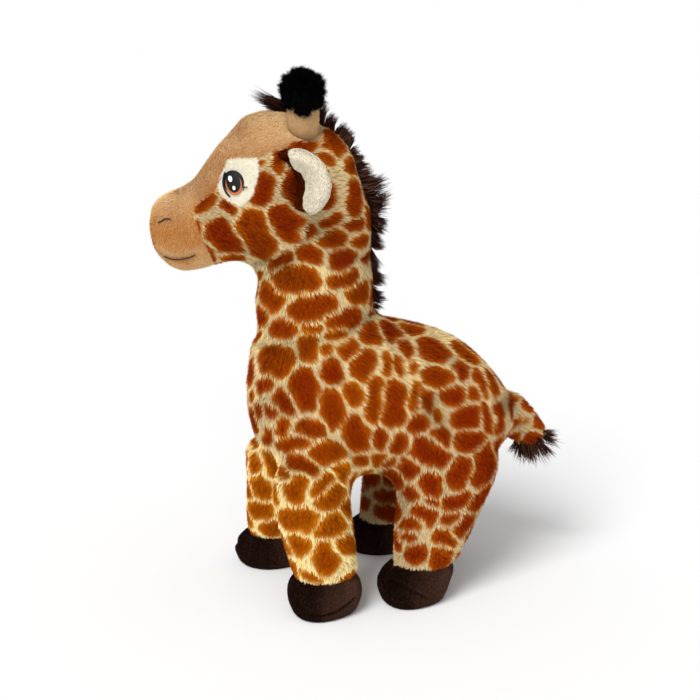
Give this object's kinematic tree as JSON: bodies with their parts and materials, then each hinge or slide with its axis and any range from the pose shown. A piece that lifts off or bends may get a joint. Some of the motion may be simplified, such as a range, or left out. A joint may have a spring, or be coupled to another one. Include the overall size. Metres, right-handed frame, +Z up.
{
  "type": "plush giraffe",
  "caption": "Standing stuffed giraffe: patterned plush skins over filling, tan face, embroidered eyes, cupped ears, pompom horns, mane, fringed tail and four flat-soled hooves.",
  "frame": {"origin": "on the floor, below the middle of the toy's box", "axes": "+Z up, the giraffe faces -Y, its left side is +X"},
  "size_m": [0.1609, 0.33, 0.3998],
  "materials": {
    "patterned_plush": "rust-brown plush, 6 to 8 mm pile, with cream lines between the patches",
    "tan_plush": "short tan plush",
    "cream_plush": "short cream plush",
    "brown_velboa": "dark brown velboa, very short pile",
    "mane_pile": "dark brown long pile",
    "black_pile": "black pile",
    "eye_thread": "satin embroidery thread",
    "polyester_filling": "white fibre filling"
  },
  "bodies": {
    "torso": {"torso_skin": "patterned_plush", "torso_filling": "polyester_filling"},
    "neck": {"neck_skin": "patterned_plush", "neck_filling": "polyester_filling", "mane_neck": "mane_pile"},
    "head": {"head_skin": "patterned_plush", "face_panel": "tan_plush", "chin_panel": "tan_plush", "eye_patch_left": "cream_plush", "eye_patch_right": "cream_plush", "eye_left": "eye_thread", "eye_right": "eye_thread", "head_filling": "polyester_filling", "mane_forelock": "mane_pile", "mane_crown": "mane_pile"},
    "left_ear": {"ear_left_outer": "patterned_plush", "ear_left_lining": "cream_plush"},
    "right_ear": {"ear_right_outer": "patterned_plush", "ear_right_lining": "cream_plush"},
    "left_horn": {"horn_left": "tan_plush", "pompom_left": "black_pile"},
    "right_horn": {"horn_right": "tan_plush", "pompom_right": "black_pile"},
    "tail": {"tail_skin": "patterned_plush", "tail_fringe": "mane_pile"},
    "front_left_leg": {"leg_front_left_skin": "patterned_plush", "leg_front_left_filling": "polyester_filling", "hoof_front_left_upper": "brown_velboa", "hoof_front_left_sole": "brown_velboa"},
    "front_right_leg": {"leg_front_right_skin": "patterned_plush", "leg_front_right_filling": "polyester_filling", "hoof_front_right_upper": "brown_velboa", "hoof_front_right_sole": "brown_velboa"},
    "hind_left_leg": {"leg_hind_left_skin": "patterned_plush", "leg_hind_left_filling": "polyester_filling", "hoof_hind_left_upper": "brown_velboa", "hoof_hind_left_sole": "brown_velboa"},
    "hind_right_leg": {"leg_hind_right_skin": "patterned_plush", "leg_hind_right_filling": "polyester_filling", "hoof_hind_right_upper": "brown_velboa", "hoof_hind_right_sole": "brown_velboa"}
  },
  "joints": [
    {"name": "neck_bend", "type": "hinge", "parent": "torso", "child": "neck", "pos_m": [0.0022, -0.0451, 0.218], "axis": [1, 0, 0], "range_deg": [-4, 10], "stiffness_Nm_per_rad": 3},
    {"name": "head_turn", "type": "hinge", "parent": "neck", "child": "head", "pos_m": [0.0022, -0.0451, 0.258], "axis": [0, 0, 1], "range_deg": [-15, 15], "stiffness_Nm_per_rad": 0.8},
    {"name": "left_ear_flap", "type": "hinge", "parent": "head", "child": "left_ear", "pos_m": [0.04021, -0.06706, 0.328], "axis": [-0.0078, 0.3163, -0.9486], "range_deg": [-20, 5], "stiffness_Nm_per_rad": 0.01},
    {"name": "right_ear_flap", "type": "hinge", "parent": "head", "child": "right_ear", "pos_m": [-0.04169, -0.04434, 0.328], "axis": [-0.1696, -0.2672, 0.9486], "range_deg": [-20, 5], "stiffness_Nm_per_rad": 0.01},
    {"name": "left_horn_sway", "type": "hinge", "parent": "head", "child": "left_horn", "pos_m": [0.01917, -0.05873, 0.36], "axis": [0.9636, -0.2672, 0], "range_deg": [-10, 10], "stiffness_Nm_per_rad": 0.05},
    {"name": "right_horn_sway", "type": "hinge", "parent": "head", "child": "right_horn", "pos_m": [-0.01937, -0.04804, 0.36], "axis": [0.9636, -0.2672, 0], "range_deg": [-10, 10], "stiffness_Nm_per_rad": 0.05},
    {"name": "tail_swing", "type": "hinge", "parent": "torso", "child": "tail", "pos_m": [0.0022, 0.1169, 0.1275], "axis": [0, 0.0523, 0.9986], "range_deg": [-30, 30], "stiffness_Nm_per_rad": 0.03},
    {"name": "front_left_leg_swing", "type": "hinge", "parent": "torso", "child": "front_left_leg", "pos_m": [0.0392, -0.0606, 0.09], "axis": [1, 0, 0], "range_deg": [-12, 4], "stiffness_Nm_per_rad": 1.5},
    {"name": "front_right_leg_swing", "type": "hinge", "parent": "torso", "child": "front_right_leg", "pos_m": [-0.0348, -0.0606, 0.09], "axis": [1, 0, 0], "range_deg": [-12, 10], "stiffness_Nm_per_rad": 1.5},
    {"name": "hind_left_leg_swing", "type": "hinge", "parent": "torso", "child": "hind_left_leg", "pos_m": [0.0402, 0.0489, 0.095], "axis": [1, 0, 0], "range_deg": [-4, 12], "stiffness_Nm_per_rad": 1.5},
    {"name": "hind_right_leg_swing", "type": "hinge", "parent": "torso", "child": "hind_right_leg", "pos_m": [-0.0358, 0.0489, 0.095], "axis": [1, 0, 0], "range_deg": [-10, 12], "stiffness_Nm_per_rad": 1.5}
  ]
}
